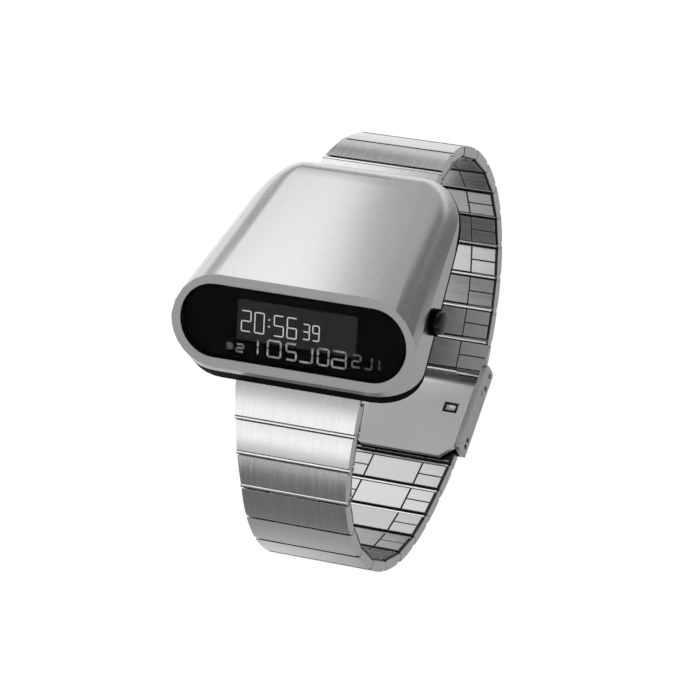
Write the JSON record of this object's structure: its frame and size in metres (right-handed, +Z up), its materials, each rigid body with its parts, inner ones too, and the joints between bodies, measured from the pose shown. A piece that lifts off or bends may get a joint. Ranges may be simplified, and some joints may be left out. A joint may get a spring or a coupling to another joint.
{
  "type": "digital wristwatch",
  "caption": "Steel digital wristwatch with a sloping pill-shaped display in a domed case, a hinged link bracelet and a fold-over clasp.",
  "frame": {"origin": "a point on the flat outer face of the clasp cover, on the watch's middle plane, where the watch stands", "axes": "+Z up from the clasp to the case, +X towards three o'clock (the button's side), +Y towards twelve o'clock"},
  "size_m": [0.0401, 0.0662, 0.0561],
  "materials": {
    "satin_steel": "satin",
    "brushed_steel": "brushed lengthwise",
    "spring_steel": "bright drawn",
    "nickel": "plated",
    "black_coat": "matte black coating",
    "black_polish": "gloss black",
    "dark_glass": "polished, smoked",
    "black_print": "black print",
    "black_rubber": "moulded",
    "lcd_grey": "negative display",
    "white_plastic": "moulded",
    "green_board": "solder mask"
  },
  "bodies": {
    "case": {"case_shell": "satin_steel", "front_glass": "dark_glass", "display_mask": "black_print", "glass_gasket": "black_rubber", "lcd_panel": "lcd_grey", "backlight": "white_plastic", "case_base": "black_coat", "back_cover": "brushed_steel", "cover_screw_1": "nickel", "cover_screw_2": "nickel", "cover_screw_3": "nickel", "cover_screw_4": "nickel", "module_frame": "white_plastic", "coin_battery": "nickel", "battery_clip": "spring_steel", "circuit_board": "green_board", "display_connector": "black_rubber", "clock_chip": "black_print", "button_collar": "black_coat", "button_spring": "spring_steel", "front_lug_bar": "spring_steel", "rear_lug_bar": "spring_steel"},
    "button": {"side_button": "black_polish", "button_retainer": "spring_steel"},
    "rear_link_1": {"rear_link_1": "brushed_steel"},
    "rear_link_2": {"rear_link_2": "brushed_steel"},
    "rear_link_3": {"rear_link_3": "brushed_steel"},
    "rear_link_4": {"rear_link_4": "brushed_steel"},
    "rear_link_5": {"rear_link_5": "brushed_steel"},
    "rear_link_6": {"rear_link_6": "brushed_steel"},
    "rear_link_7": {"rear_link_7": "brushed_steel"},
    "rear_link_8": {"rear_link_8": "brushed_steel"},
    "rear_link_9": {"rear_link_9": "brushed_steel"},
    "rear_link_10": {"rear_link_10": "brushed_steel"},
    "rear_link_11": {"rear_link_11": "brushed_steel"},
    "rear_link_12": {"rear_link_12": "brushed_steel"},
    "clasp_cover": {"clasp_cover": "satin_steel", "clasp_catch": "spring_steel", "clasp_hinge_pin": "spring_steel"},
    "clasp_plate": {"clasp_plate": "satin_steel"},
    "front_link_1": {"front_link_1": "brushed_steel"},
    "front_link_2": {"front_link_2": "brushed_steel"},
    "front_link_3": {"front_link_3": "brushed_steel"},
    "front_link_4": {"front_link_4": "brushed_steel"},
    "front_link_5": {"front_link_5": "brushed_steel"},
    "front_link_6": {"front_link_6": "brushed_steel"},
    "front_link_7": {"front_link_7": "brushed_steel"},
    "front_link_8": {"front_link_8": "brushed_steel"},
    "front_link_9": {"front_link_9": "brushed_steel"},
    "front_link_10": {"front_link_10": "brushed_steel"},
    "front_link_11": {"front_link_11": "brushed_steel"},
    "front_link_12": {"front_link_12": "brushed_steel"},
    "front_link_13": {"front_link_13": "brushed_steel"}
  },
  "joints": [
    {"name": "button_press", "type": "slide", "parent": "case", "child": "button", "axis": [-1, 0, 0], "range_m": [0, 0.0005], "stiffness_N_per_m": 400, "springref_m": -0.0005},
    {"name": "rear_hinge_1", "type": "hinge", "parent": "case", "child": "rear_link_1", "pos_m": [0, 0.01345, 0.043], "axis": [1, 0, 0], "range_deg": [0, 10.7]},
    {"name": "rear_hinge_2", "type": "hinge", "parent": "rear_link_1", "child": "rear_link_2", "pos_m": [0, 0.01851, 0.04204], "axis": [1, 0, 0], "range_deg": [0, 18.45]},
    {"name": "rear_hinge_3", "type": "hinge", "parent": "rear_link_2", "child": "rear_link_3", "pos_m": [0, 0.02301, 0.03954], "axis": [1, 0, 0], "range_deg": [0, 18.18]},
    {"name": "rear_hinge_4", "type": "hinge", "parent": "rear_link_3", "child": "rear_link_4", "pos_m": [0, 0.0265, 0.03575], "axis": [1, 0, 0], "range_deg": [0, 17.68]},
    {"name": "rear_hinge_5", "type": "hinge", "parent": "rear_link_4", "child": "rear_link_5", "pos_m": [0, 0.02868, 0.03108], "axis": [1, 0, 0], "range_deg": [0, 16.96]},
    {"name": "rear_hinge_6", "type": "hinge", "parent": "rear_link_5", "child": "rear_link_6", "pos_m": [0, 0.0294, 0.02598], "axis": [1, 0, 0], "range_deg": [0, 16]},
    {"name": "rear_hinge_7", "type": "hinge", "parent": "rear_link_6", "child": "rear_link_7", "pos_m": [0, 0.02868, 0.02088], "axis": [1, 0, 0], "range_deg": [0, 14.82]},
    {"name": "rear_hinge_8", "type": "hinge", "parent": "rear_link_7", "child": "rear_link_8", "pos_m": [0, 0.02669, 0.01613], "axis": [1, 0, 0], "range_deg": [0, 13.41]},
    {"name": "rear_hinge_9", "type": "hinge", "parent": "rear_link_8", "child": "rear_link_9", "pos_m": [0, 0.02365, 0.01198], "axis": [1, 0, 0], "range_deg": [0, 11.77]},
    {"name": "rear_hinge_10", "type": "hinge", "parent": "rear_link_9", "child": "rear_link_10", "pos_m": [0, 0.01983, 0.00853], "axis": [1, 0, 0], "range_deg": [0, 9.9]},
    {"name": "rear_hinge_11", "type": "hinge", "parent": "rear_link_10", "child": "rear_link_11", "pos_m": [0, 0.01547, 0.00579], "axis": [1, 0, 0], "range_deg": [0, 7.8]},
    {"name": "rear_hinge_12", "type": "hinge", "parent": "rear_link_11", "child": "rear_link_12", "pos_m": [0, 0.01077, 0.00367], "axis": [1, 0, 0], "range_deg": [0, 5.48]},
    {"name": "rear_hinge_13", "type": "hinge", "parent": "rear_link_12", "child": "clasp_cover", "pos_m": [0, 0.0059, 0.002], "axis": [1, 0, 0], "range_deg": [0, 18.87]},
    {"name": "clasp_plate_hinge", "type": "hinge", "parent": "clasp_cover", "child": "clasp_plate", "pos_m": [0, 0.0024, 0.0028], "axis": [-1, 0, 0], "range_deg": [0, 85]},
    {"name": "front_hinge_1", "type": "hinge", "parent": "case", "child": "front_link_1", "pos_m": [0, -0.01985, 0.0427], "axis": [-1, 0, 0], "range_deg": [0, 38.3]},
    {"name": "front_hinge_2", "type": "hinge", "parent": "front_link_1", "child": "front_link_2", "pos_m": [0, -0.02415, 0.03987], "axis": [-1, 0, 0], "range_deg": [0, 5.96]},
    {"name": "front_hinge_3", "type": "hinge", "parent": "front_link_2", "child": "front_link_3", "pos_m": [0, -0.02819, 0.03667], "axis": [-1, 0, 0], "range_deg": [0, 11.29]},
    {"name": "front_hinge_4", "type": "hinge", "parent": "front_link_3", "child": "front_link_4", "pos_m": [0, -0.03161, 0.03282], "axis": [-1, 0, 0], "range_deg": [0, 15.39]},
    {"name": "front_hinge_5", "type": "hinge", "parent": "front_link_4", "child": "front_link_5", "pos_m": [0, -0.03406, 0.02829], "axis": [-1, 0, 0], "range_deg": [0, 18.26]},
    {"name": "front_hinge_6", "type": "hinge", "parent": "front_link_5", "child": "front_link_6", "pos_m": [0, -0.03517, 0.02326], "axis": [-1, 0, 0], "range_deg": [0, 19.89]},
    {"name": "front_hinge_7", "type": "hinge", "parent": "front_link_6", "child": "front_link_7", "pos_m": [0, -0.03473, 0.01813], "axis": [-1, 0, 0], "range_deg": [0, 20.29]},
    {"name": "front_hinge_8", "type": "hinge", "parent": "front_link_7", "child": "front_link_8", "pos_m": [0, -0.03276, 0.01337], "axis": [-1, 0, 0], "range_deg": [0, 19.45]},
    {"name": "front_hinge_9", "type": "hinge", "parent": "front_link_8", "child": "front_link_9", "pos_m": [0, -0.02949, 0.00939], "axis": [-1, 0, 0], "range_deg": [0, 17.39]},
    {"name": "front_hinge_10", "type": "hinge", "parent": "front_link_9", "child": "front_link_10", "pos_m": [0, -0.0253, 0.0064], "axis": [-1, 0, 0], "range_deg": [0, 14.08]},
    {"name": "front_hinge_11", "type": "hinge", "parent": "front_link_10", "child": "front_link_11", "pos_m": [0, -0.02057, 0.00437], "axis": [-1, 0, 0], "range_deg": [0, 9.55]},
    {"name": "front_hinge_12", "type": "hinge", "parent": "front_link_11", "child": "front_link_12", "pos_m": [0, -0.01559, 0.00304], "axis": [-1, 0, 0], "range_deg": [0, 3.78]},
    {"name": "front_hinge_13", "type": "hinge", "parent": "front_link_12", "child": "front_link_13", "pos_m": [0, -0.01055, 0.002], "axis": [-1, 0, 0], "range_deg": [0, 13.41]}
  ],
  "couplings": [
    {"joint": "rear_hinge_2", "follows": "rear_hinge_1", "ratio": 1.7236},
    {"joint": "rear_hinge_3", "follows": "rear_hinge_1", "ratio": 1.6987},
    {"joint": "rear_hinge_4", "follows": "rear_hinge_1", "ratio": 1.6523},
    {"joint": "rear_hinge_5", "follows": "rear_hinge_1", "ratio": 1.5846},
    {"joint": "rear_hinge_6", "follows": "rear_hinge_1", "ratio": 1.4955},
    {"joint": "rear_hinge_7", "follows": "rear_hinge_1", "ratio": 1.385},
    {"joint": "rear_hinge_8", "follows": "rear_hinge_1", "ratio": 1.2532},
    {"joint": "rear_hinge_9", "follows": "rear_hinge_1", "ratio": 1.0999},
    {"joint": "rear_hinge_10", "follows": "rear_hinge_1", "ratio": 0.92523},
    {"joint": "rear_hinge_11", "follows": "rear_hinge_1", "ratio": 0.72925},
    {"joint": "rear_hinge_12", "follows": "rear_hinge_1", "ratio": 0.51186},
    {"joint": "rear_hinge_13", "follows": "rear_hinge_1", "ratio": 1.7633},
    {"joint": "front_hinge_1", "follows": "rear_hinge_1", "ratio": 3.579},
    {"joint": "front_hinge_2", "follows": "rear_hinge_1", "ratio": 0.55635},
    {"joint": "front_hinge_3", "follows": "rear_hinge_1", "ratio": 1.0549},
    {"joint": "front_hinge_4", "follows": "rear_hinge_1", "ratio": 1.4381},
    {"joint": "front_hinge_5", "follows": "rear_hinge_1", "ratio": 1.7061},
    {"joint": "front_hinge_6", "follows": "rear_hinge_1", "ratio": 1.8586},
    {"joint": "front_hinge_7", "follows": "rear_hinge_1", "ratio": 1.896},
    {"joint": "front_hinge_8", "follows": "rear_hinge_1", "ratio": 1.8179},
    {"joint": "front_hinge_9", "follows": "rear_hinge_1", "ratio": 1.6247},
    {"joint": "front_hinge_10", "follows": "rear_hinge_1", "ratio": 1.316},
    {"joint": "front_hinge_11", "follows": "rear_hinge_1", "ratio": 0.89214},
    {"joint": "front_hinge_12", "follows": "rear_hinge_1", "ratio": 0.35289},
    {"joint": "front_hinge_13", "follows": "rear_hinge_1", "ratio": 1.2533}
  ]
}
